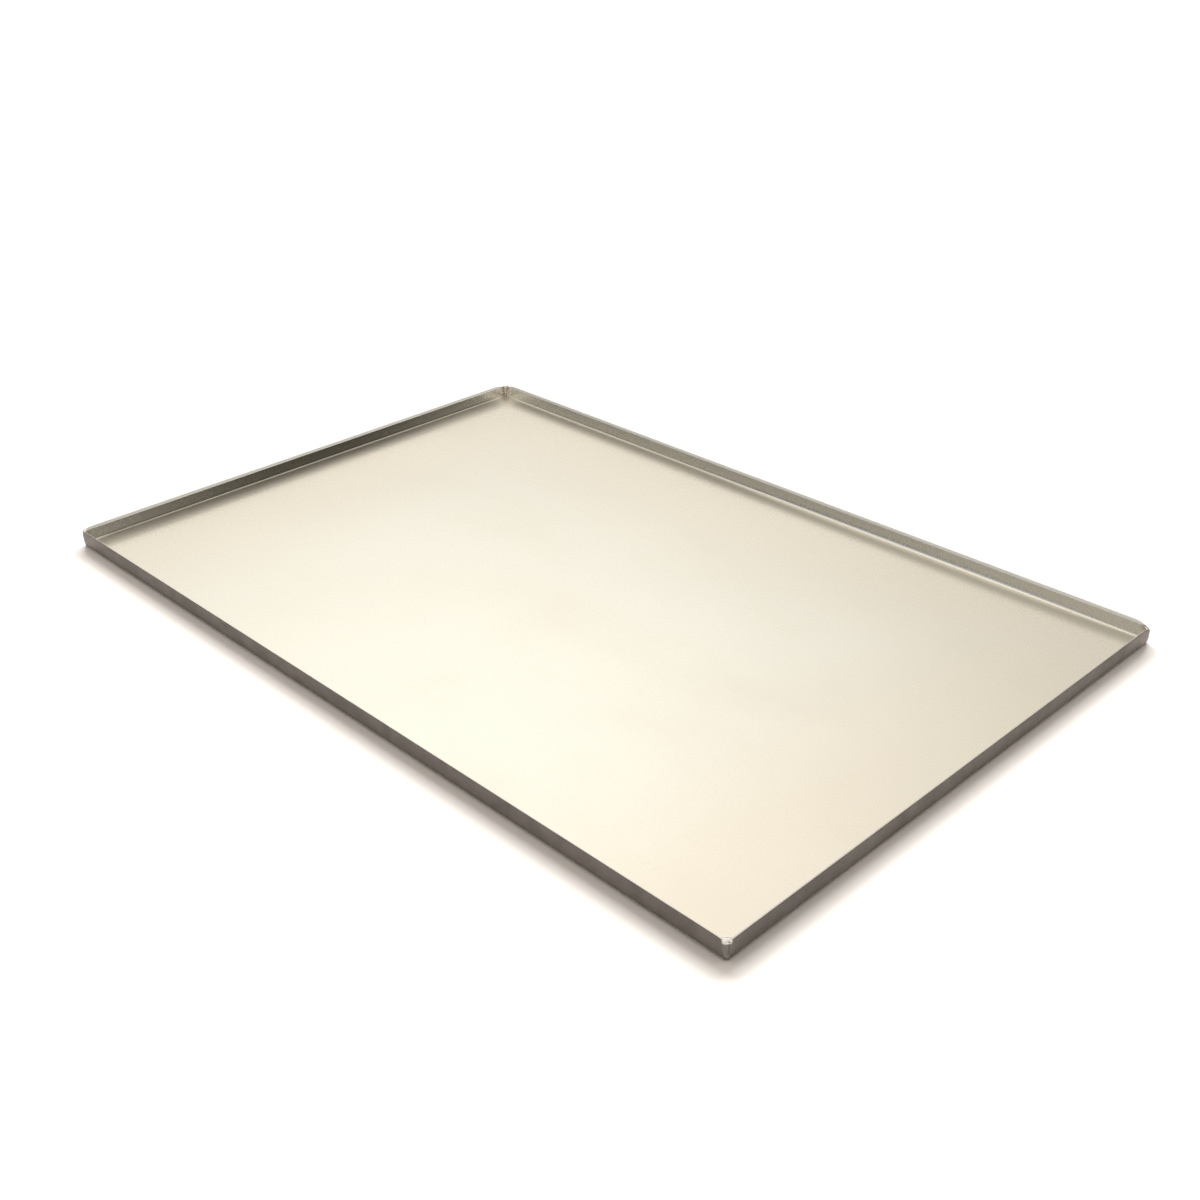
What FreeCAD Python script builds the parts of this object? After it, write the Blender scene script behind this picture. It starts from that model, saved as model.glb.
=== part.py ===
"""Rectangular baking sheet in folded aluminium.

One blank is folded up along its four sides. Its corners are rounded in plan, and each is closed by
a weld bead in a seam that widens towards the rim. The rim is ground down a little at every corner.

Frame: millimetres, +Z up, +X along the length, origin at the middle of the underside.
"""

import FreeCAD, Part
import math
import os

# Driving sizes of the folded blank
LENGTH = 600.0              # outside, along X
WIDTH = 400.0               # outside, along Y
HEIGHT = 12.0               # underside to rim
SHEET = 2.0                 # sheet thickness
BEND_RADIUS = 1.2           # inside radius at the foot of each wall
CORNER_RADIUS = 5.5         # outside radius of each upright corner, in plan
RIM_ROUND = 0.8             # radius of the rim's two rounded edges

# Corners, ground down after welding
DRESSED_RUN = 12.0          # from the square corner to where the rim starts to fall
DRESSED_DROP = 1.6          # fall of the rim at the corner itself

# Corner seam and the weld bead that fills it
SEAM_RIM_WIDTH = 4.6
SEAM_FOOT_WIDTH = 2.0
SEAM_RELIEF = 0.6           # how far the seam runs into the flat floor, past the bend
BEAD_CROWN = 0.35           # how far the bead stands out of the corner
BEAD_ROOT = 0.25            # how far it stands into the pan

OVERRUN = 4.0               # how far cutting bodies run past what they cut

# Sizes that follow
BEND_OUTSIDE_RADIUS = BEND_RADIUS + SHEET
CORNER_FACE = CORNER_RADIUS * (1 - math.sqrt(2))    # corner's outside face, from the square corner
CORNERS = {
    "front_left": (-1, -1),
    "front_right": (1, -1),
    "back_right": (1, 1),
    "back_left": (-1, 1),
}


def vector(x, y, z):
    return FreeCAD.Vector(x, y, z)


def rounded_block(length, width, floor, top, corner_radius, foot_radius):
    """A block centred on Z, with its upright edges and the edges of its floor rounded."""
    block = Part.makeBox(length, width, top - floor, vector(-length / 2, -width / 2, floor))
    upright = [edge for edge in block.Edges if is_upright(edge)]
    block = block.makeFillet(corner_radius, upright)
    return block.makeFillet(foot_radius, edges_at(block, floor))


def is_upright(edge):
    first, last = edge.Vertexes[0].Point, edge.Vertexes[-1].Point
    return abs(first.x - last.x) < SHEET and abs(first.y - last.y) < SHEET


def edges_at(shape, height):
    """The edges of a shape that lie level at this height."""
    box_slack = SHEET / 100
    return [
        edge
        for edge in shape.Edges
        if abs(edge.BoundBox.ZMin - height) < box_slack and abs(edge.BoundBox.ZMax - height) < box_slack
    ]


def tray_block(grown, floor, top, foot_radius):
    """The tray's outside form, grown outwards by a distance. A minus distance shrinks it."""
    return rounded_block(
        LENGTH + 2 * grown, WIDTH + 2 * grown, floor, top, CORNER_RADIUS + grown, foot_radius
    )


def corner_place(side_x, side_y):
    """A placement at a square corner of the underside, with its own +X out along the diagonal."""
    turn = FreeCAD.Rotation(vector(0, 0, 1), math.degrees(math.atan2(side_y, side_x)))
    return FreeCAD.Placement(vector(side_x * LENGTH / 2, side_y * WIDTH / 2, 0), turn)


def prism(points, direction):
    """A flat outline pushed along a direction."""
    outline = Part.makePolygon(points + points[:1])
    return Part.Face(outline).extrude(direction)


def dressing_cutter():
    """What grinding takes off a corner: everything above a plane that falls outwards.

    The plane starts at the rim, on a chord that meets both walls DRESSED_RUN from the square corner.
    """
    chord = -DRESSED_RUN / math.sqrt(2)
    slope = DRESSED_DROP / (CORNER_FACE - chord)
    end = OVERRUN
    half = DRESSED_RUN / math.sqrt(2) + OVERRUN
    low_end = HEIGHT - slope * (end - chord)
    points = [
        vector(chord, -half, HEIGHT),
        vector(end, -half, low_end),
        vector(end, -half, HEIGHT + OVERRUN),
        vector(chord, -half, HEIGHT + OVERRUN),
    ]
    return prism(points, vector(0, 2 * half, 0))


def seam_body():
    """The seam in a corner, from the foot of the wall to past the rim: a wedge along the diagonal."""
    start = CORNER_FACE - BEND_OUTSIDE_RADIUS - SEAM_RELIEF
    rise = HEIGHT + OVERRUN
    widening = (SEAM_RIM_WIDTH - SEAM_FOOT_WIDTH) / 2 / HEIGHT
    foot_half = SEAM_FOOT_WIDTH / 2
    top_half = foot_half + widening * rise
    points = [
        vector(start, -foot_half, 0),
        vector(start, foot_half, 0),
        vector(start, top_half, rise),
        vector(start, -top_half, rise),
    ]
    return prism(points, vector(OVERRUN - start, 0, 0))


def placed(shape, placement):
    copy = shape.copy()
    copy.Placement = placement
    return copy


def tray_shell(outside_growth, inside_growth, rim_round):
    """The tray's wall and floor as a shell. Growth makes it thicker, outwards and inwards."""
    outside = tray_block(outside_growth, 0, HEIGHT, BEND_OUTSIDE_RADIUS + outside_growth)
    hollow = tray_block(-SHEET - inside_growth, SHEET, HEIGHT + OVERRUN, BEND_RADIUS - inside_growth)
    shell = outside.cut(hollow)
    if rim_round > 0:
        shell = shell.makeFillet(rim_round, edges_at(shell, HEIGHT))
    return shell


def folded_pan(corner_cutters):
    """The folded blank, ground down at its corners and open at its four seams."""
    pan = tray_shell(0, 0, RIM_ROUND)
    for dressing, seam in corner_cutters.values():
        pan = pan.cut(dressing).cut(seam)
    return pan


def corner_weld(bead_shell, dressing, seam):
    """The bead in one seam: a thicker shell, kept only inside the seam and ground with the rim."""
    return bead_shell.common(seam).cut(dressing)


def one_solid(shape, name):
    if len(shape.Solids) != 1 or not shape.isValid():
        raise ValueError(f"{name} is not one valid solid: {len(shape.Solids)} solids")
    return shape.Solids[0]


def build():
    """Every piece of the baking sheet, by name."""
    dressing, seam = dressing_cutter(), seam_body()
    cutters = {
        name: (placed(dressing, corner_place(*sides)), placed(seam, corner_place(*sides)))
        for name, sides in CORNERS.items()
    }
    pieces = {"folded_pan": folded_pan(cutters)}
    bead_shell = tray_shell(BEAD_CROWN, BEAD_ROOT, 0)
    for name, (corner_dressing, corner_seam) in cutters.items():
        pieces["corner_weld_" + name] = corner_weld(bead_shell, corner_dressing, corner_seam)
    return {name: one_solid(shape, name) for name, shape in pieces.items()}


os.makedirs("parts", exist_ok=True)
for piece_name, solid in build().items():
    solid.exportStep(os.path.join("parts", piece_name + ".step"))
    print(piece_name, "volume", round(solid.Volume, 2), "box", solid.BoundBox)
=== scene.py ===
"""Baking sheet: a folded aluminium pan with welded corners, dressed around its fixed CAD frame.

Metres, +Z up, +X along the length, origin at the middle of the underside.
"""

import math

import bmesh
import bpy
import numpy as np
from mathutils import Matrix, Vector


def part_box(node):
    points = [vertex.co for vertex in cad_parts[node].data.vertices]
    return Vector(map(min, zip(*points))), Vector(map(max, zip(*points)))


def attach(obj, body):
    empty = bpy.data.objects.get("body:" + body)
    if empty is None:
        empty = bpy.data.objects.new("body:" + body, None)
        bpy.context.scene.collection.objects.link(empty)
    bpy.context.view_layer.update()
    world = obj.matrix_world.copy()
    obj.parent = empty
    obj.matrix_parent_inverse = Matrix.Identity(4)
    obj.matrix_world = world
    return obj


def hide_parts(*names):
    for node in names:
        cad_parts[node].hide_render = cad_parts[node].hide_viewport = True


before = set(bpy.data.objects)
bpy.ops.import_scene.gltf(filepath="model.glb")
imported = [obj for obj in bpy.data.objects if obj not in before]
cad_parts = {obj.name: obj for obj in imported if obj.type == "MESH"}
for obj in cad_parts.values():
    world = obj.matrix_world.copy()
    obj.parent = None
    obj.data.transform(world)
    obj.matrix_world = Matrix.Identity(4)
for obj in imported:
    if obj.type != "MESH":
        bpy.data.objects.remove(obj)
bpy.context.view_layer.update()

bl_info = {
    "name": "Baking Sheet",
    "version": (1, 0, 0),
    "blender": (4, 5, 0),
    "location": "View3D > Sidebar > Bakeware",
    "description": "Builds a folded aluminium baking sheet with welded corners on its CAD frame",
    "category": "Add Mesh",
}

# The CAD frame
PAN_LOW, PAN_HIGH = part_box("folded_pan")
BODY = "root"

# Each weld's CAD node, and the sides of the pan that meet in its corner, along X and Y
CORNERS = {
    "corner_weld_front_left": (-1, -1),
    "corner_weld_front_right": (1, -1),
    "corner_weld_back_right": (1, 1),
    "corner_weld_back_left": (-1, 1),
}

# What differs between the corners, as ((front left, front right), (back left, back right))
DRESSED_SHARES = ((0.5, 0.2), (1.6, 1.6))       # of the dressed drop, how far the rim falls
PROUD_BEAD_SHARES = ((0.0, 0.0), (0.7, 0.0))    # of that fall, how far the bead stands above the rim

# Form of the pan
WIDE_BEND_PLACE = (0.4, 0.5)            # middle and reach of the softer back bend, in half lengths
FLOOR_WAVES = (                         # radians per half length and half width, start, height
    (5.1, 1.9, 0.6, 1.0),
    (-2.2, 3.3, 1.9, 1.0),
    (8.3, -4.7, 0.0, 0.6),
)
GUARD_SHARE = 1 / 8                     # of the bend radius: short flats beside bends, for clean shading
SLOPE_GUARD_SHARES = (0.1, 0.9)         # along the filed slope: where its flat middle starts and ends
RIM_GUARD_SHARE = 1 / 4                 # of the rim's round: short flats beside it
JOIN_DISTANCE = 1e-6                    # points closer than this are joined

# Form of the beads
BEAD_START = math.radians(8)            # how far round the bend a bead starts
BEAD_END_SHARES = (0.16, 0.02)          # of a bead's run: how much of it rounds off its foot and its top
BEAD_SQUARENESS = 0.7                   # power of the superellipse: 1 is round, 0 is square
WIDEST_SWING = 0.7                      # most that a bead turns to each side about the corner, in radians
RIM_LIFT_SHARE = 1 / 5                  # of the root: how far a ground bead stands above the rim
RIPPLE_SHIFT = 1.7                      # from one bead's ripples to the next bead's, in radians

# Noise in the metal: waves per metre, detail, roughness, stretch
EVEN = (1.0, 1.0, 1.0)
PATTERNS = {
    "grain": (620, 2.0, 0.55, EVEN),
    "rolling": (260, 2.0, 0.55, (0.04, 1.0, 1.0)),
    "clouds": (11, 4.0, 0.55, EVEN),
    "smears": (14, 4.0, 0.5, (0.6, 1.0, 1.0)),
    "soot": (75, 4.0, 0.55, EVEN),
    "bead soot": (900, 3.0, 0.55, EVEN),
    "bead patches": (330, 3.0, 0.55, EVEN),
}

# Where the pan's marks and its painted light are: each pair runs from where a mark is missing to where it
# is full
FLOOR_EDGE_SHARES = (1.0, 0.25)         # of the bend radius, above the floor
OUTSIDE_SHARES = (0.95, 0.85)           # of the sheet, in from the outer faces
BARE_FADE = 0.0006                      # below the foot of the filed slope
BARE_EDGE_SHARES = (0.15, 0.3)          # of the sheet, in from the outer face
LEFT_SIDE_SHARES = (2.0, 1.0)           # of the bend, in from the left wall's outer face
CREASE_RISE_SHARES = (1.2, 1.0)         # of the bend, above the underside
CREASE_END_SHARES = (2.0, 8.0)          # of the bend, from the ends of the left wall
HEAT_REACH = (0.0115, 0.0075)           # from the square corner
HEAT_RISE = (0.006, 0.009)              # above the underside
HEAT_DRIFT = 0.006                      # how far the grain shifts the tint's edge
HIGHLIT_REACH = (0.05, 0.17)            # from the ends and the back, for the painted highlight on the floor
HIGHLIT_DRIFT = 0.03                    # how far the clouds shift the painted highlight's edge
RESIDUE_REACH = (0.022, 0.006)          # from the left and back outer faces
SMEAR_LEVELS = (0.45, 0.8)              # of the noise
GRAIN_REACH = (0.01, 0.05)              # from the outer faces

# How strong the pan's marks and its painted shade are in its colour
# Painted shade on the left wall's inner face: in its middle, and along its bend
LEFT_WALL_SHADE_SHARE = 0.93
CREASE_SHADE_SHARE = 0.4
HEAT_SHARE = 0.85
SMEAR_SHARE = 0.2
CLOUD_SHARE = 0.1
SOOT_LEVEL = 0.1                        # at the foot of the walls
OUTSIDE_SHADE_RISE = 0.5                         # painted shade added from there to the rim
SOOT_SPREAD = 1.5                       # how much the noise varies it

# How much rougher the pan's marks make it
CLOUD_ROUGHER = 0.04
SMEAR_ROUGHER = 0.02
GRAIN_ROUGHER = 0.06
BARE_ROUGHER = 0.03
OUTSIDE_ROUGHER = 0.22
RESIDUE_ROUGHER = 0.12
BACK_RESIDUE_SHARE = 0.5                # of the residue beside the left wall

# Relief of the pan's metal
GRAIN_HEIGHT = 0.000013
ROLLING_SHARE = 0.5                     # of the grain
WALL_GRAIN_SHARE = 0.1                  # of the grain that is left on walls and bends
FLOOR_GRAIN_SHARE = 0.2                 # added on the floor
OPEN_GRAIN_SHARE = 0.7                  # added away from the walls

# Marks of the beads
BEAD_INSIDE_SHARES = (1.0, 1.3)         # of the sheet, in from the outer faces
BEAD_PATCH_LEVELS = (0.4, 0.6)          # of the noise
GROUND_FADE = (0.0009, 0.0003)          # below the dressed rim
GROUND_DRIFT = 0.0006                   # how far the soot shifts the ground edge
BEAD_SOOT_ROUGHER = 0.16
GROUND_SMOOTHER = 0.12
BEAD_RELIEF = 0.00004

# Light of the room, with angles in degrees
SEEN_RAYS = ("Is Camera Ray", "Is Glossy Ray", "Is Transmission Ray")
ROOM_LEVEL = 0.04                       # light from everywhere
KEY_LEVELS = (                          # angle from the brightest place, level
    (180, 0.0), (95, 0.0), (85, 0.04), (74, 0.15), (52, 0.29), (30, 0.68), (20, 0.91), (12, 1.13), (0, 1.31)
)
LOW_KEY_SHARE = 0.4                     # of those levels, how much is left near the horizon
KEY_RISE = (8, 34)                      # heights between which they grow to the whole
HORIZON = (5, 2)                        # heights between which the room turns white in the metal
ROOM_PATCHES = {                        # azimuth from +X, height, inner and outer radius, level
    "overhead": (200, 78, 8, 26, 1.0),
    "left": (214, 46, 8, 24, 0.34),
    "overhead right": (55, 52, 9, 24, 1.1),
    "front left": (268, 30, 8, 36, 0.5),
    "front": (313, 24, 8, 22, 1.3),
    "right": (16, 24, 6, 18, 0.32),
}
FLOOR_LAMPS = {"lamp_left": (148, 38), "lamp_back": (113, 36)}      # azimuth from +X, height

# Floor and camera
FLOOR_GAP = 0.0002                      # from the underside down to the floor
CAMERA_PLACE = (0.61817, -0.59242, 0.46814)
CAMERA_YAW = math.radians(135.399)      # from +X
CAMERA_PITCH = math.radians(-29.057)    # from the level
CAMERA_ROLL = math.radians(-0.492)      # about the line of sight


def length_value(name, description, default, smallest=0.0):
    return bpy.props.FloatProperty(
        name=name, description=description, default=default, min=smallest, unit="LENGTH", precision=5
    )


def plain_value(name, description, default):
    return bpy.props.FloatProperty(name=name, description=description, default=default, min=0.0)


def angle_value(name, description, degrees):
    return bpy.props.FloatProperty(
        name=name, description=description, default=math.radians(degrees), unit="ROTATION"
    )


def colour_value(name, description, default):
    return bpy.props.FloatVectorProperty(
        name=name, description=description, default=default, size=3, min=0.0, max=1.0, subtype="COLOR"
    )


class PanSizes(bpy.types.PropertyGroup):
    """Sizes of the folded pan."""

    length: length_value("Length", "Outside length, along X", PAN_HIGH.x - PAN_LOW.x)
    width: length_value("Width", "Outside width, along Y", PAN_HIGH.y - PAN_LOW.y)
    height: length_value("Height", "Underside to rim", PAN_HIGH.z - PAN_LOW.z)
    sheet: length_value("Sheet", "Sheet thickness", 0.002)
    bend_radius: length_value("Bend radius", "Inside radius at the foot of the walls", 0.0012)
    wide_bend_radius: length_value("Wide bend radius", "Inside radius of the softest back bend", 0.0032)
    corner_radius: length_value("Corner radius", "Outside radius of the corners in plan", 0.0055)
    rim_slope_run: length_value("Rim slope run", "Width of the slope on the rim's inner edge", 0.0011)
    rim_slope_drop: length_value("Rim slope drop", "Height of the slope on the rim's inner edge", 0.0012)
    rim_round: length_value("Rim round", "Radius of the rim's edges", 0.00025)
    dressed_run: length_value("Dressed run", "From the square corner to where the rim falls", 0.012)
    dressed_drop: length_value("Dressed drop", "Fall of the rim at the corners", 0.0016)
    floor_lift: length_value("Floor lift", "Highest rise of the floor's slow waves", 0.0004)
    mesh_step: length_value("Mesh step", "Size of the mesh along walls and floor", 0.005, 0.001)


class WeldSizes(bpy.types.PropertyGroup):
    """Sizes of the weld beads in the corners."""

    rim_width: length_value("Rim width", "Width of a bead at the rim", 0.0052)
    foot_width: length_value("Foot width", "Width of a bead at the foot of the wall", 0.0026)
    crown: length_value("Crown", "How far a bead stands out of the corner", 0.00035)
    root: length_value("Root", "How far a bead stands into the pan", 0.00025)
    drop: length_value("Drop", "How far a drop of weld metal stands into the pan", 0.0014)
    drop_place: length_value("Drop place", "How high the drop sits", 0.0056)
    drop_height: length_value("Drop height", "Half the height of the drop", 0.0009, 0.0001)
    foot_fill: plain_value("Foot fill", "Share of the bend that a bead fills out on the outside", 0.8)
    ripple_pitch: length_value("Ripple pitch", "From one ripple of a bead to the next", 0.0009, 0.0001)
    ripple_share: plain_value("Ripple share", "Share of the crown that the ripples take up", 0.45)


class MetalFinish(bpy.types.PropertyGroup):
    """Colours and gloss of the metal."""

    sheet_colour: colour_value("Sheet", "Rolled aluminium", (0.87, 0.86, 0.82))
    baked_colour: colour_value("Baked floor", "Floor, warm from baking", (0.89, 0.835, 0.715))
    # Painted highlight: the floor is paler where the key's reflection is brightest
    highlit_colour: colour_value("Highlit floor", "Middle of the floor, scoured paler", (0.89, 0.87, 0.775))
    smear_colour: colour_value("Smear", "Wiped oil film on the floor", (0.86, 0.79, 0.64))
    # Outer faces' own dull colour, also used as the painted shade on the left weld beads
    outside_and_shade_colour: colour_value("Outside", "Outer faces, dulled by the oven", (0.24, 0.22, 0.203))
    # Dark end of the outer faces' mottled soot, and of their painted shade towards the rim
    soot_and_shade_colour: colour_value("Soot", "Outer faces where they are dullest", (0.145, 0.131, 0.12))
    bare_colour: colour_value("Bare edge", "Freshly worn or ground metal", (0.89, 0.87, 0.81))
    # Painted shade on the left wall's inner face, in its middle and along its bend
    left_wall_shade_colour: colour_value("Shade", "Brown stain along the left wall", (0.20, 0.19, 0.165))
    heat_colour: colour_value("Heat tint", "Brown tint beside the welds, inside", (0.60, 0.49, 0.38))
    gold_colour: colour_value("Gold tint", "Gold tint on the welds, inside", (0.87, 0.78, 0.62))
    bead_colour: colour_value("Weld bead", "Weld metal", (0.29, 0.27, 0.25))
    sheet_roughness: plain_value("Sheet roughness", "Roughness of the rolled sheet", 0.27)
    bead_roughness: plain_value("Bead roughness", "Roughness of the weld beads", 0.38)


class StageSettings(bpy.types.PropertyGroup):
    """Floor, light and camera."""

    floor_colour: colour_value("Floor", "Pale floor", (0.95, 0.89, 0.83))
    floor_gain: plain_value("Floor gain", "How much paler the floor is to the eye and in the metal", 1.05)
    floor_half: length_value("Floor half size", "From the middle of the floor to its side", 12.0)
    key_azimuth: angle_value("Key azimuth", "Where the room is brightest, turned from +X", 143.0)
    key_height: angle_value("Key height", "How high the brightest part of the room stands", 34.0)
    lamp_width: angle_value("Lamp width", "How wide a lamp looks from the floor", 24.0)
    lamp_strength: plain_value("Lamp strength", "Light of the floor's lamps together", 4.1)
    lamp_colour: colour_value("Lamp colour", "Colour of the floor's lamps", (0.93, 0.965, 1.0))
    light_colour: colour_value("Light colour", "Colour of the room's light", (1.0, 0.97, 0.93))
    focal_length: plain_value("Focal length", "Camera lens, in millimetres", 44.12)


# Surfaces


def mesh_piece(name, points, quads, material):
    """A closed mesh piece from grids of points: doubled points are joined and faces turned outwards."""
    mesh = bpy.data.meshes.new(name)
    mesh.from_pydata(points.reshape(-1, 3).tolist(), [], quads.reshape(-1, 4).tolist())
    shell = bmesh.new()
    shell.from_mesh(mesh)
    bmesh.ops.remove_doubles(shell, verts=shell.verts, dist=JOIN_DISTANCE)
    bmesh.ops.recalc_face_normals(shell, faces=shell.faces)
    shell.to_mesh(mesh)
    shell.free()
    mesh.shade_smooth()
    mesh.materials.append(material)
    piece = bpy.data.objects.new(name, mesh)
    bpy.context.scene.collection.objects.link(piece)
    return piece


def grid_quads(rows, columns, first=0, closed=False):
    """Corner numbers of the quads of a grid of rows by columns, whose points are numbered from first.

    A closed grid's last column joins its first.
    """
    row, column = np.meshgrid(np.arange(rows - 1), np.arange(columns - (not closed)), indexing="ij")
    beside = (column + 1) % columns
    corners = [row * columns + column, row * columns + beside]
    corners += [(row + 1) * columns + beside, (row + 1) * columns + column]
    return np.stack(corners, -1).reshape(-1, 4) + first


def arc(centre, radius, start, end, steps):
    """Points of an arc, centre + radius (cos a, sin a), for a from start to end in degrees."""
    angle = np.radians(np.linspace(start, end, steps + 1))
    return np.stack([centre[0] + radius * np.cos(angle), centre[1] + radius * np.sin(angle)], -1)


def wall_profile(pan, inside_radius, arc_steps=10, rim_steps=4, wall_steps=20):
    """The section of a wall as (inset from the outside face, height), from floor to rim to underside.

    It is the floor, an inside bend, the inner face, a slope filed on the rim's inner edge, the flat rim,
    the outer face and an outside bend. Short stretches beside the bends keep their shading off the flats.
    """
    bend = pan.bend_radius + pan.sheet
    inner_bend = inside_radius + pan.sheet
    guard = GUARD_SHARE * pan.bend_radius
    share = np.linspace(0, 1, wall_steps + 1)[1:-1]
    edge = pan.rim_round
    rim_guard = RIM_GUARD_SHARE * edge
    slope = math.atan2(pan.rim_slope_run, pan.rim_slope_drop)
    slope_foot = np.array([pan.sheet - edge, pan.height - edge - pan.rim_slope_drop])
    slope_head = slope_foot + (-pan.rim_slope_run, pan.rim_slope_drop)
    slope_face = slope_foot + edge * np.array([math.cos(slope), math.sin(slope)])
    inner_top, outer_top = slope_foot[1], pan.height - edge
    inner_wall = inner_bend + guard + (inner_top - inner_bend - 2 * guard) * share
    outer_wall = bend + guard + (outer_top - bend - 2 * guard) * share[::-1]
    return np.concatenate([
        [(pan.corner_radius, pan.sheet), (inner_bend + guard, pan.sheet)],
        arc((inner_bend, inner_bend), inside_radius, 270, 180, arc_steps),
        [(pan.sheet, inner_bend + guard)],
        np.stack([np.full(inner_wall.shape, pan.sheet), inner_wall], -1),
        [(pan.sheet, inner_top - guard)],
        arc(slope_foot, edge, 0, math.degrees(slope), rim_steps),
        [slope_face + (slope_head - slope_foot) * part for part in SLOPE_GUARD_SHARES],
        arc(slope_head, edge, math.degrees(slope), 90, rim_steps),
        [(slope_head[0] - rim_guard, pan.height), (edge + rim_guard, pan.height)],
        arc((edge, outer_top), edge, 90, 180, rim_steps),
        [(0, outer_top - guard)],
        np.stack([np.zeros(outer_wall.shape), outer_wall], -1),
        [(0, bend + guard)],
        arc((bend, bend), bend, 180, 270, arc_steps),
        [(bend + guard, 0), (pan.corner_radius, 0)],
    ])


def centre_half(pan):
    """Half the length and half the width of the rectangle between the corners' centres."""
    return np.array([pan.length / 2 - pan.corner_radius, pan.width / 2 - pan.corner_radius])


def floor_counts(pan):
    """How many mesh steps run along the floor's length and width."""
    return [round(2 * half / pan.mesh_step) for half in centre_half(pan)]


def eased(count):
    """Places from 0 to 1 that lie closer together towards both ends: (1 - cos(pi u)) / 2."""
    return (1 - np.cos(np.linspace(0, math.pi, count + 1))) / 2


def rim_path(pan, corner_steps=14):
    """The way round the pan: points of the rectangle between the corners' centres, and outward directions.

    The outside face is at point + corner radius * direction, so in a corner only the direction turns.
    """
    half = centre_half(pan)
    signs = np.array([(1, 1), (-1, 1), (-1, -1), (1, -1)])
    counts = floor_counts(pan)
    points, turns = [], []
    for side in range(4):
        corner, after = signs[side] * half, signs[(side + 1) % 4] * half
        share = eased(counts[side % 2])[1:-1, None]
        points += [np.repeat(corner[None], corner_steps + 1, 0), corner + (after - corner) * share]
        turns += [np.linspace(side, side + 1, corner_steps + 1), np.full(len(share), side + 1.0)]
    angle = np.concatenate(turns) * math.pi / 2
    return np.concatenate(points), np.stack([np.cos(angle), np.sin(angle)], -1)


def corner_share(shares, x, y):
    """The share of the corner in whose quarter of the pan a place lies."""
    front, back = (np.where(x < 0, left, right) for left, right in shares)
    return np.where(y < 0, front, back)


def rim_fall(pan, x, y):
    """How far the rim is ground down at a place in plan.

    The fall is drop * (q / depth) ** 2, where q is how far the place lies past a chord across the corner,
    along the diagonal, and depth is q at the corner's face. Each corner has its own share of it.
    """
    chord = pan.dressed_run / math.sqrt(2)
    depth = chord - pan.corner_radius * (math.sqrt(2) - 1)
    past = (np.abs(x) - pan.length / 2 + np.abs(y) - pan.width / 2) / math.sqrt(2) + chord
    return corner_share(DRESSED_SHARES, x, y) * pan.dressed_drop * (np.maximum(past, 0) / depth) ** 2


def floor_rise(pan, x, y):
    """The rise of the floor's slow waves, from 0 to floor_lift.

    It is a sum of sines, brought to 0 to 1 and times (1 - u ** 10) (1 - v ** 10), which dies out at the
    walls, for u and v from -1 to 1 along the floor's length and width.
    """
    half_length, half_width = centre_half(pan)
    u, v = x / half_length, y / half_width
    waves = sum(
        height * np.sin(along * u + across * v + start) for along, across, start, height in FLOOR_WAVES
    )
    highest = sum(height for *_, height in FLOOR_WAVES)
    fade = (1 - np.minimum(u * u, 1) ** 5) * (1 - np.minimum(v * v, 1) ** 5)
    return pan.floor_lift * fade * (1 + waves / highest) / 2


def wide_bend_share(pan, path, direction):
    """How much of the wide bend each place on the rim path has: a hump on the right half of the back wall.

    It is exp(-((x - middle) / reach) ** 4) * max(d, 0) ** 8, for x in half lengths and d the direction's
    part along Y, so that it dies out round the corners.
    """
    middle, reach = WIDE_BEND_PLACE
    hump = np.exp(-(((path[:, 0] / (pan.length / 2) - middle) / reach) ** 4))
    return hump * np.clip(direction[:, 1], 0, 1) ** 8


def pan_surface(pan):
    """Points and quads of the pan: its wall section carried round the rim path, and two floor grids.

    P(u, v) = path(u) + (corner radius - inset(v)) * direction(u) at height(v), with the walls shortened to
    the dressed rim, and z = floor_rise(x, y) under and over the floor.
    """
    path, direction = rim_path(pan)
    profile = wall_profile(pan, pan.bend_radius)[:, None]
    softened = wall_profile(pan, pan.wide_bend_radius)[:, None] - profile
    profile = profile + softened * wide_bend_share(pan, path, direction)[:, None]
    inset, height = profile[..., 0], profile[..., 1]
    plan = path + (pan.corner_radius - inset)[..., None] * direction
    bend_top = pan.bend_radius + pan.sheet
    above = np.maximum(height - bend_top, 0) / (pan.height - bend_top)
    z = height - above * rim_fall(pan, plan[..., 0], plan[..., 1])
    walls = np.concatenate([plan, z[..., None]], -1).reshape(-1, 3)
    columns, rows = floor_counts(pan)
    half_length, half_width = centre_half(pan)
    x, y = np.meshgrid((2 * eased(columns) - 1) * half_length, (2 * eased(rows) - 1) * half_width)
    rise = floor_rise(pan, x, y)
    top = np.stack([x, y, pan.sheet + rise], -1).reshape(-1, 3)
    under = np.stack([x, y, rise], -1).reshape(-1, 3)
    quads = [
        grid_quads(len(profile), len(path), closed=True),
        grid_quads(rows + 1, columns + 1, len(walls)),
        grid_quads(rows + 1, columns + 1, len(walls) + len(top)),
    ]
    return np.concatenate([walls, top, under]), np.concatenate(quads)


def bead_way(pan, top, steps):
    """The way of a bead along the middle of the sheet: from the floor round the bend, and up to the top.

    Gives columns of the run so far, the turn from level to upright, the distance from the corner's axis,
    which is inner + middle * sin(turn), and the height, bend - middle * cos(turn) + climb.
    """
    bend = pan.bend_radius + pan.sheet
    middle = pan.bend_radius + pan.sheet / 2
    inner = pan.corner_radius - bend
    bend_run = middle * (math.pi / 2 - BEAD_START)
    run = np.linspace(0, bend_run + top - bend, steps)[:, None]
    turn = np.minimum(BEAD_START + run / middle, math.pi / 2)
    climb = np.maximum(run - bend_run, 0)
    return run, turn, inner + middle * np.sin(turn), bend - middle * np.cos(turn) + climb


def rounded_end(share, end_share):
    """A quarter circle from 0 at a share of 0 up to 1 at the end share, and 1 past it."""
    return np.sqrt(np.clip(1 - np.maximum(1 - share / end_share, 0) ** 2, 0, 1))


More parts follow.
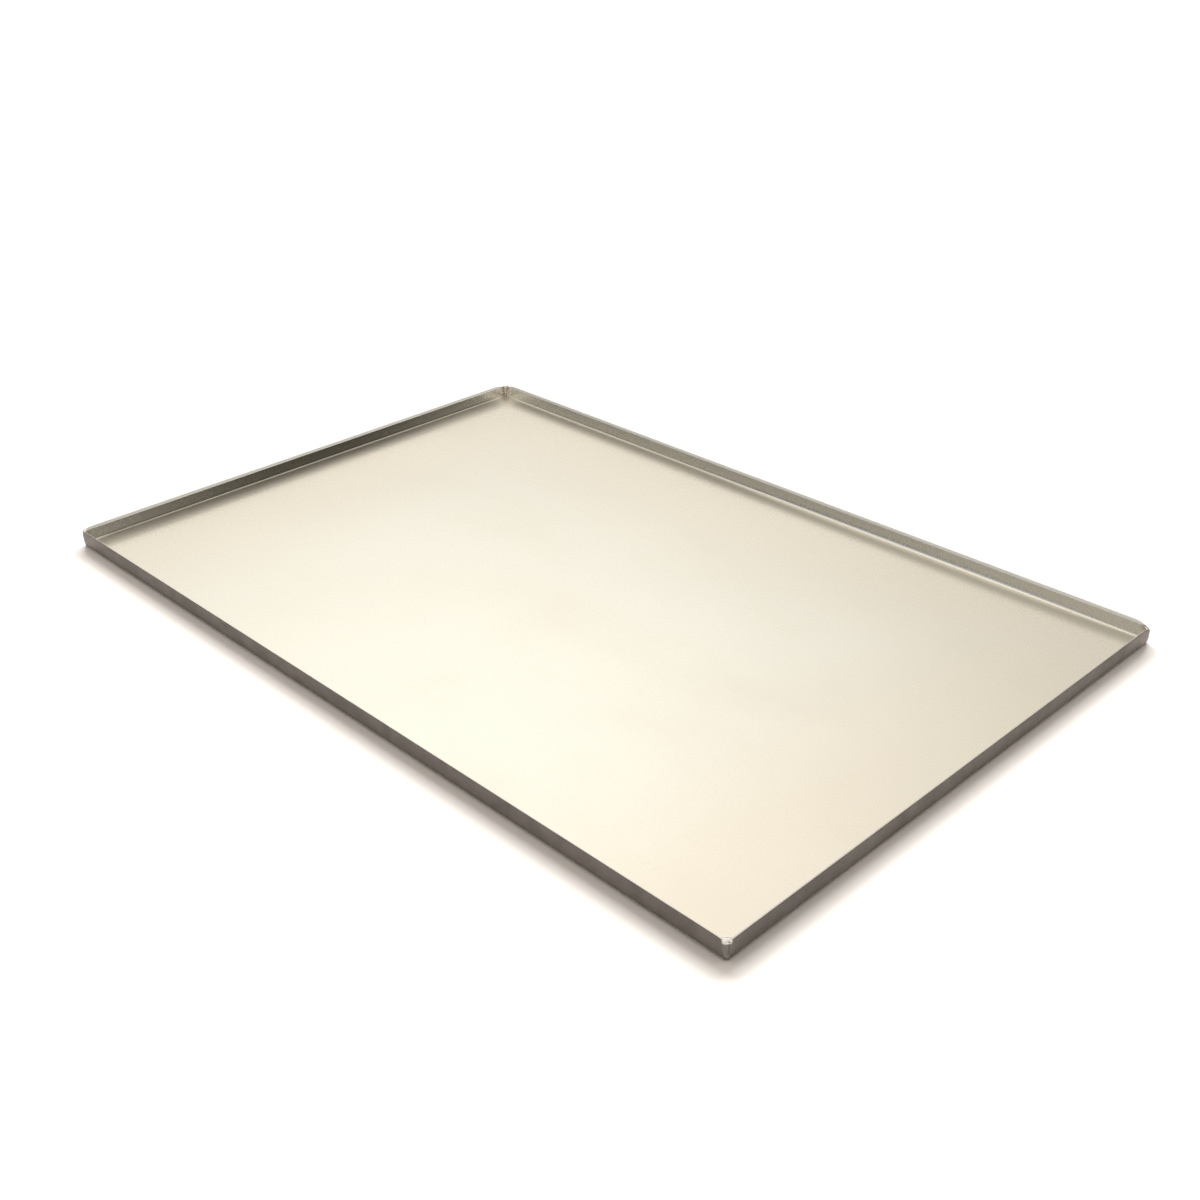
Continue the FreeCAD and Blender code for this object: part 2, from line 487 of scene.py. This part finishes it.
def bead_surface(pan, weld, side_x, side_y, ripple_start, steps=120, sides=48):
    """Points and quads of one weld bead: a rounded-square section carried up the middle of the sheet.

    Across the way, the section is the superellipse t = |cos a| ** e, h = |sin a| ** e, with the signs of
    cos a and sin a. t turns about the corner's axis and h goes through the sheet, from the root inside to
    the crown outside. Ripples lift both by cos(2 pi s / pitch + 2 t * t), for s along the way. The crown
    grows by sin(turn) ** 3 round the bend, whose foot it squares off, and inside there is one drop,
    exp(-((z - place) / height) ** 2).
    """
    half_length, half_width = centre_half(pan)
    reach = (pan.corner_radius - pan.sheet / 2) / math.sqrt(2)
    corner = side_x * (half_length + reach), side_y * (half_width + reach)
    proud_share = float(corner_share(PROUD_BEAD_SHARES, *corner))
    ground_share = 1 - proud_share
    top = pan.height - ground_share * float(rim_fall(pan, *corner))
    run, turn, way_radius, way_height = bead_way(pan, top, steps)
    share = run / run[-1]
    foot_share, top_share = BEAD_END_SHARES
    ends = rounded_end(share, foot_share) * rounded_end(1 - share, top_share)
    around = np.linspace(0, 2 * math.pi, sides, endpoint=False)[None]
    across = np.sign(np.cos(around)) * np.abs(np.cos(around)) ** BEAD_SQUARENESS
    through = np.sign(np.sin(around)) * np.abs(np.sin(around)) ** BEAD_SQUARENESS
    half_bead = (weld.foot_width + (weld.rim_width - weld.foot_width) * share) / 2
    swing = np.minimum(half_bead / way_radius, WIDEST_SWING) * ends * across
    ripple_turn = 2 * math.pi * run / weld.ripple_pitch + 2 * across**2 + ripple_start
    ripple = 1 + weld.ripple_share * np.cos(ripple_turn)
    bend = pan.bend_radius + pan.sheet
    square_foot = bend * (1 / np.maximum(np.sin(turn), np.cos(turn)) - 1)
    crown = weld.crown * np.sin(turn) ** 3 * ripple + weld.foot_fill * square_foot
    drop = weld.drop * np.exp(-(((way_height - weld.drop_place) / weld.drop_height) ** 2))
    proud = np.where(through > 0, crown, weld.root * ripple + drop)
    offset = through * (pan.sheet / 2 + proud) * ends
    radius = way_radius + offset * np.sin(turn)
    angle = math.atan2(side_y, side_x) + swing
    x = side_x * half_length + radius * np.cos(angle)
    y = side_y * half_width + radius * np.sin(angle)
    z = np.maximum(way_height - offset * np.cos(turn), 0)
    lift = 0.0 if proud_share else RIM_LIFT_SHARE * weld.root
    z = np.minimum(z, pan.height - ground_share * rim_fall(pan, x, y) + lift)
    return np.stack([x, y, z], -1), grid_quads(steps, sides, closed=True)


# Materials


class Wire:
    """An output socket that can stand in a sum: each operator on values adds one Math node."""

    def __init__(self, tree, socket=None):
        self.tree, self.socket = tree, socket

    def node(self, kind, settings=None, inputs=None, output=0):
        """Any node: its type, its settings, which are set first, and the values or links of its sockets."""
        made = self.tree.nodes.new("ShaderNode" + kind)
        for name, value in (settings or {}).items():
            if name == "stops":
                set_stops(made.color_ramp, value)
            else:
                setattr(made, name, value)
        for name, value in (inputs or {}).items():
            if isinstance(value, Wire):
                self.tree.links.new(value.socket, made.inputs[name])
            else:
                made.inputs[name].default_value = value
        return Wire(self.tree, made.outputs[output] if len(made.outputs) else None)

    def math(self, operation, *values):
        return self.node("Math", {"operation": operation}, dict(enumerate(values)))

    def __add__(self, other):
        return self.math("ADD", self, other)

    def __sub__(self, other):
        return self.math("SUBTRACT", self, other)

    def __rsub__(self, other):
        return self.math("SUBTRACT", other, self)

    def __mul__(self, other):
        return self.math("MULTIPLY", self, other)

    def __truediv__(self, other):
        return self.math("DIVIDE", self, other)

    def __pow__(self, other):
        return self.math("POWER", self, other)

    __radd__ = __add__
    __rmul__ = __mul__

    def __abs__(self):
        return self.math("ABSOLUTE", self)

    def axis(self, name):
        return self.node("SeparateXYZ", {}, {"Vector": self}, name)

    def dot(self, direction):
        return self.node("VectorMath", {"operation": "DOT_PRODUCT"}, {0: self, 1: direction}, "Value")

    def least(self, other):
        return self.math("MINIMUM", self, other)

    def step(self, low, high):
        """0 below low, 1 above high, and smooth between them. The other way round if low is the higher."""
        limits = {"From Min": low, "From Max": high, "Value": self}
        return self.node("MapRange", {"interpolation_type": "SMOOTHSTEP"}, limits)

    def noise(self, pattern):
        """Noise from 0 to 1 on this vector, in one of the named patterns."""
        scale, detail, roughness, stretch = PATTERNS[pattern]
        place = self.node("Mapping", {}, {"Vector": self, "Scale": stretch})
        return self.node(
            "TexNoise", {}, {"Vector": place, "Scale": scale, "Detail": detail, "Roughness": roughness}
        )

    def centred(self):
        """A value from 0 to 1, brought to lie about zero."""
        return self - 0.5

    def mixed(self, first, second):
        """A colour between first and second, by this value."""
        colours = {"Factor": self, 6: as_colour(first), 7: as_colour(second)}
        return self.node("Mix", {"data_type": "RGBA"}, colours, output=2)


def as_colour(value):
    return value if isinstance(value, Wire) else (*value, 1.0)


def set_stops(ramp, stops):
    """Fill a colour ramp with (place, grey) stops."""
    while len(ramp.elements) < len(stops):
        ramp.elements.new(0.5)
    for element, (place, grey) in zip(ramp.elements, stops):
        element.position = place
        element.color = (grey, grey, grey, 1.0)


def new_material(name):
    """An empty node material, and a wire to build it with."""
    material = bpy.data.materials.new(name)
    material.use_nodes = True
    material.node_tree.nodes.clear()
    return material, Wire(material.node_tree)


def show(wire, shader, output="OutputMaterial"):
    """End a node tree in its output."""
    wire.node(output, {}, {"Surface": shader})


def metal_shader(wire, colour, roughness, height):
    """Bare metal with a relief, whose height is in metres."""
    bump = wire.node("Bump", {}, {"Height": height, "Distance": 1.0, "Strength": 1.0})
    return wire.node(
        "BsdfPrincipled",
        {},
        {"Base Color": colour, "Metallic": 1.0, "Roughness": roughness, "Normal": bump},
    )


def shares_of(size, shares):
    return [size * share for share in shares]


def sheet_metal(pan, finish):
    """Rolled aluminium: a fine pebbled grain with faint rolling lines, and the marks of use.

    The floor is warm from baking, with a painted highlight that makes its middle paler, and dull beside the
    left and back walls. The outer faces are dull and sooty, with painted shade that darkens them towards
    the rim. The rim is worn bare, the left wall's inner face has painted shade in its middle and along its
    bend, and the corners have a heat tint beside their welds.
    """
    material, wire = new_material("rolled_aluminium")
    place = wire.node("TexCoord", output="Object")
    x, y, z = (place.axis(name) for name in "XYZ")
    grain, rolling, clouds = (place.noise(name) for name in ("grain", "rolling", "clouds"))
    bend = pan.sheet + pan.bend_radius

    # Distances from the outer faces
    from_left, from_back = pan.length / 2 + x, pan.width / 2 - y
    from_end, from_side = pan.length / 2 - abs(x), pan.width / 2 - abs(y)
    depth = from_end.least(from_side)
    from_corner = (from_end**2 + from_side**2) ** 0.5

    # Which part of the sheet it is, from 0 to 1
    floor = (z - pan.sheet).step(*shares_of(pan.bend_radius, FLOOR_EDGE_SHARES))
    outside = depth.least(z).step(*shares_of(pan.sheet, OUTSIDE_SHARES))
    left_side = from_left.step(*shares_of(bend, LEFT_SIDE_SHARES)) * (1 - outside)
    slope_foot = pan.height - pan.rim_slope_drop
    bare = z.step(slope_foot - BARE_FADE, slope_foot)
    bare = bare * depth.step(*shares_of(pan.sheet, BARE_EDGE_SHARES))

    # Marks of use, and painted highlight and shade
    smears = place.noise("smears").step(*SMEAR_LEVELS)
    # Painted highlight: the floor is paler away from the ends and the back, where the key's reflection is
    # brightest
    highlit = (from_end.least(from_back) + HIGHLIT_DRIFT * clouds).step(*HIGHLIT_REACH)
    # Painted shade on the left wall's inner face: darkest in its middle, and along its bend
    shade = left_side * (1 - (y / (pan.width / 2)) ** 2)
    crease_shade = left_side * z.step(*shares_of(bend, CREASE_RISE_SHARES))
    crease_shade = crease_shade * from_side.step(*shares_of(bend, CREASE_END_SHARES))
    # Outer faces: mottled soot, and painted shade that darkens them towards the rim
    soot = SOOT_LEVEL + OUTSIDE_SHADE_RISE * z.step(0.0, pan.height) + SOOT_SPREAD * place.noise("soot").centred()
    heat = (from_corner + HEAT_DRIFT * grain).step(*HEAT_REACH) * z.step(*HEAT_RISE) * (1 - outside)
    residue = from_left.step(*RESIDUE_REACH) + BACK_RESIDUE_SHARE * from_back.step(*RESIDUE_REACH)

    # Colour of the floor, then of the walls, then of the marks and painted shade over both
    # Floor: warm from baking, made paler by the painted highlight
    colour = highlit.mixed(finish.baked_colour, finish.highlit_colour)
    colour = (SMEAR_SHARE * smears + CLOUD_SHARE * clouds).mixed(colour, finish.smear_colour)
    # Walls: painted shade in the middle of the left wall
    wall_colour = (LEFT_WALL_SHADE_SHARE * shade).mixed(finish.sheet_colour, finish.left_wall_shade_colour)
    colour = floor.mixed(wall_colour, colour)
    # Painted shade along the left wall's bend
    colour = (CREASE_SHADE_SHARE * crease_shade).mixed(colour, finish.left_wall_shade_colour)
    # Outer faces: dull and mottled, with painted shade towards the rim
    colour = outside.mixed(colour, soot.mixed(finish.outside_and_shade_colour, finish.soot_and_shade_colour))
    colour = bare.mixed(colour, finish.bare_colour)
    colour = (HEAT_SHARE * heat).mixed(colour, finish.heat_colour)

    # Roughness and relief
    roughness = finish.sheet_roughness + CLOUD_ROUGHER * clouds.centred() + SMEAR_ROUGHER * smears
    roughness = roughness + GRAIN_ROUGHER * grain.centred() + BARE_ROUGHER * bare
    roughness = roughness + OUTSIDE_ROUGHER * outside + RESIDUE_ROUGHER * residue * floor
    grain_share = WALL_GRAIN_SHARE + FLOOR_GRAIN_SHARE * floor + OPEN_GRAIN_SHARE * depth.step(*GRAIN_REACH)
    relief = GRAIN_HEIGHT * (grain + ROLLING_SHARE * rolling) * grain_share
    show(wire, metal_shader(wire, colour, roughness, relief))
    return material


def bead_metal(pan, finish):
    """Weld metal: grey outside, with painted shade on the left beads, gold to brown inside, ground bright
    along the rim.
    """
    material, wire = new_material("weld_metal")
    place = wire.node("TexCoord", output="Object")
    x, y, z = (place.axis(name) for name in "XYZ")
    soot = place.noise("bead soot")
    patches = place.noise("bead patches").step(*BEAD_PATCH_LEVELS)
    depth = (pan.length / 2 - abs(x)).least(pan.width / 2 - abs(y))
    inside = depth.step(*shares_of(pan.sheet, BEAD_INSIDE_SHARES))
    # Painted shade: the left beads are darker outside
    left = x.step(pan.sheet, -pan.sheet)
    low_rim = pan.height - pan.dressed_drop
    ground = (z + GROUND_DRIFT * soot.centred()).step(*(low_rim - below for below in GROUND_FADE))
    tint = patches.mixed(finish.gold_colour, finish.heat_colour)
    colour = inside.mixed(left.mixed(finish.bead_colour, finish.outside_and_shade_colour), tint)
    colour = ground.mixed(colour, finish.bare_colour)
    roughness = finish.bead_roughness + BEAD_SOOT_ROUGHER * soot.centred() - GROUND_SMOOTHER * ground
    show(wire, metal_shader(wire, colour, roughness, BEAD_RELIEF * soot))
    return material


# Stage


def seen_rays(wire):
    """Three wires, 1 for a ray from the camera, from gloss or through something clear, and otherwise 0."""
    rays = wire.node("LightPath").socket.node
    return [Wire(wire.tree, rays.outputs[name]) for name in SEEN_RAYS]


def pale_floor(stage):
    """A matt floor that is paler to the eye, and in the metal, than the light it throws back."""
    material, wire = new_material("pale_floor")
    camera, glossy, clear = seen_rays(wire)
    pale = [stage.floor_gain * level for level in stage.floor_colour]
    colour = (camera + glossy + clear).mixed(stage.floor_colour, pale)
    show(wire, wire.node("BsdfDiffuse", {}, {"Color": colour}))
    return material


def lay_floor(stage):
    """A flat square floor just under the pan."""
    half, z = stage.floor_half, -FLOOR_GAP
    mesh = bpy.data.meshes.new("floor")
    square = [(-half, -half, z), (half, -half, z), (half, half, z), (-half, half, z)]
    mesh.from_pydata(square, [], [(0, 1, 2, 3)])
    mesh.materials.append(pale_floor(stage))
    floor = bpy.data.objects.new("floor", mesh)
    bpy.context.scene.collection.objects.link(floor)


def direction_of(azimuth, height):
    """A direction from the middle of the floor, as a unit vector."""
    flat = math.cos(height)
    return flat * math.cos(azimuth), flat * math.sin(azimuth), math.sin(height)


def light_floor(stage):
    """Two soft lamps behind the pan that light the floor and throw the pan's shadow forward."""
    for name, (azimuth, height) in FLOOR_LAMPS.items():
        lamp = bpy.data.lights.new(name, "SUN")
        lamp.energy = stage.lamp_strength / len(FLOOR_LAMPS)
        lamp.color = stage.lamp_colour
        lamp.angle = stage.lamp_width
        holder = bpy.data.objects.new(name, lamp)
        away = Vector(direction_of(math.radians(azimuth), math.radians(height)))
        holder.matrix_world = away.to_track_quat("Z", "Y").to_matrix().to_4x4()
        holder.visible_glossy = False
        bpy.context.scene.collection.objects.link(holder)


def height_step(height, low, high):
    """0 to 1 between two heights in the room, in degrees."""
    return height.step(math.sin(math.radians(low)), math.sin(math.radians(high)))


def soft_patch(way, azimuth, height, inner, outer):
    """1 within an angle of a place in the room, 0 beyond another angle, all in degrees."""
    towards = way.dot(direction_of(math.radians(azimuth), math.radians(height)))
    return towards.step(math.cos(math.radians(outer)), math.cos(math.radians(inner)))


def light_room(stage):
    """A dim room with one bright side, a white horizon, and patches of light that the metal mirrors."""
    world = bpy.data.worlds.new("studio")
    bpy.context.scene.world = world
    world.use_nodes = True
    world.node_tree.nodes.clear()
    wire = Wire(world.node_tree)
    way = wire.node("TexCoord", output="Generated")
    height = way.axis("Z")
    towards = way.dot(direction_of(stage.key_azimuth, stage.key_height))
    stops = [((1 + math.cos(math.radians(angle))) / 2, level) for angle, level in KEY_LEVELS]
    key = wire.node("ValToRGB", {"stops": stops}, {"Fac": (1 + towards) / 2})
    level = ROOM_LEVEL + key * (LOW_KEY_SHARE + (1 - LOW_KEY_SHARE) * height_step(height, *KEY_RISE))
    for azimuth, up, inner, outer, strength in ROOM_PATCHES.values():
        level = level + strength * soft_patch(way, azimuth, up, inner, outer)
    room = wire.node("VectorMath", {"operation": "SCALE"}, {0: stage.light_colour, "Scale": level})
    camera, glossy, clear = seen_rays(wire)
    white = (camera + (glossy + clear) * height_step(height, *HORIZON)).least(1.0)
    colour = white.mixed(room, (1.0, 1.0, 1.0))
    show(wire, wire.node("Background", {}, {"Color": colour, "Strength": 1.0}), "OutputWorld")


def place_camera(stage):
    """A camera turned by yaw from +X, pitch from the level, and roll about its own line of sight."""
    lens = bpy.data.cameras.new("camera")
    lens.lens = stage.focal_length
    camera = bpy.data.objects.new("camera", lens)
    yaw = Matrix.Rotation(CAMERA_YAW - math.pi / 2, 4, "Z")
    pitch = Matrix.Rotation(CAMERA_PITCH + math.pi / 2, 4, "X")
    roll = Matrix.Rotation(CAMERA_ROLL, 4, "Z")
    camera.matrix_world = Matrix.Translation(CAMERA_PLACE) @ yaw @ pitch @ roll
    bpy.context.scene.collection.objects.link(camera)
    bpy.context.scene.camera = camera


# Operators


class BAKEWARE_OT_pan(bpy.types.Operator):
    """Build the folded pan"""

    bl_idname = "bakeware.pan"
    bl_label = "Folded Pan"

    def execute(self, context):
        pan, finish = context.scene.bakeware_pan, context.scene.bakeware_finish
        piece = mesh_piece("pan", *pan_surface(pan), sheet_metal(pan, finish))
        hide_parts("folded_pan")
        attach(piece, BODY)
        return {"FINISHED"}


class BAKEWARE_OT_welds(bpy.types.Operator):
    """Build the weld beads in the corners"""

    bl_idname = "bakeware.welds"
    bl_label = "Corner Welds"

    def execute(self, context):
        pan, weld = context.scene.bakeware_pan, context.scene.bakeware_weld
        metal = bead_metal(pan, context.scene.bakeware_finish)
        for number, (node, sides) in enumerate(CORNERS.items()):
            surface = bead_surface(pan, weld, *sides, ripple_start=number * RIPPLE_SHIFT)
            piece = mesh_piece(node.replace("corner_weld", "weld_bead"), *surface, metal)
            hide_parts(node)
            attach(piece, BODY)
        return {"FINISHED"}


class BAKEWARE_OT_stage(bpy.types.Operator):
    """Lay the floor, light the room and place the camera"""

    bl_idname = "bakeware.stage"
    bl_label = "Stage"

    def execute(self, context):
        stage = context.scene.bakeware_stage
        lay_floor(stage)
        light_floor(stage)
        light_room(stage)
        place_camera(stage)
        context.scene.view_settings.view_transform = "Standard"
        return {"FINISHED"}


class BAKEWARE_PT_panel(bpy.types.Panel):
    """The baking sheet's pieces and sizes"""

    bl_idname = "BAKEWARE_PT_panel"
    bl_label = "Baking Sheet"
    bl_space_type = "VIEW_3D"
    bl_region_type = "UI"
    bl_category = "Bakeware"

    def draw(self, context):
        for operator in OPERATORS:
            self.layout.operator(operator.bl_idname)
        for name in GROUPS:
            group = getattr(context.scene, name)
            box = self.layout.box()
            for value in group.__annotations__:
                box.prop(group, value)


GROUPS = {
    "bakeware_pan": PanSizes,
    "bakeware_weld": WeldSizes,
    "bakeware_finish": MetalFinish,
    "bakeware_stage": StageSettings,
}
OPERATORS = (BAKEWARE_OT_pan, BAKEWARE_OT_welds, BAKEWARE_OT_stage)
CLASSES = (*GROUPS.values(), *OPERATORS, BAKEWARE_PT_panel)


def register():
    for item in CLASSES:
        bpy.utils.register_class(item)
    for name, group in GROUPS.items():
        setattr(bpy.types.Scene, name, bpy.props.PointerProperty(type=group))


def unregister():
    for name in GROUPS:
        delattr(bpy.types.Scene, name)
    for item in reversed(CLASSES):
        bpy.utils.unregister_class(item)


def main():
    register()
    bpy.ops.bakeware.pan()
    bpy.ops.bakeware.welds()
    bpy.ops.bakeware.stage()


if __name__ == "__main__":
    main()
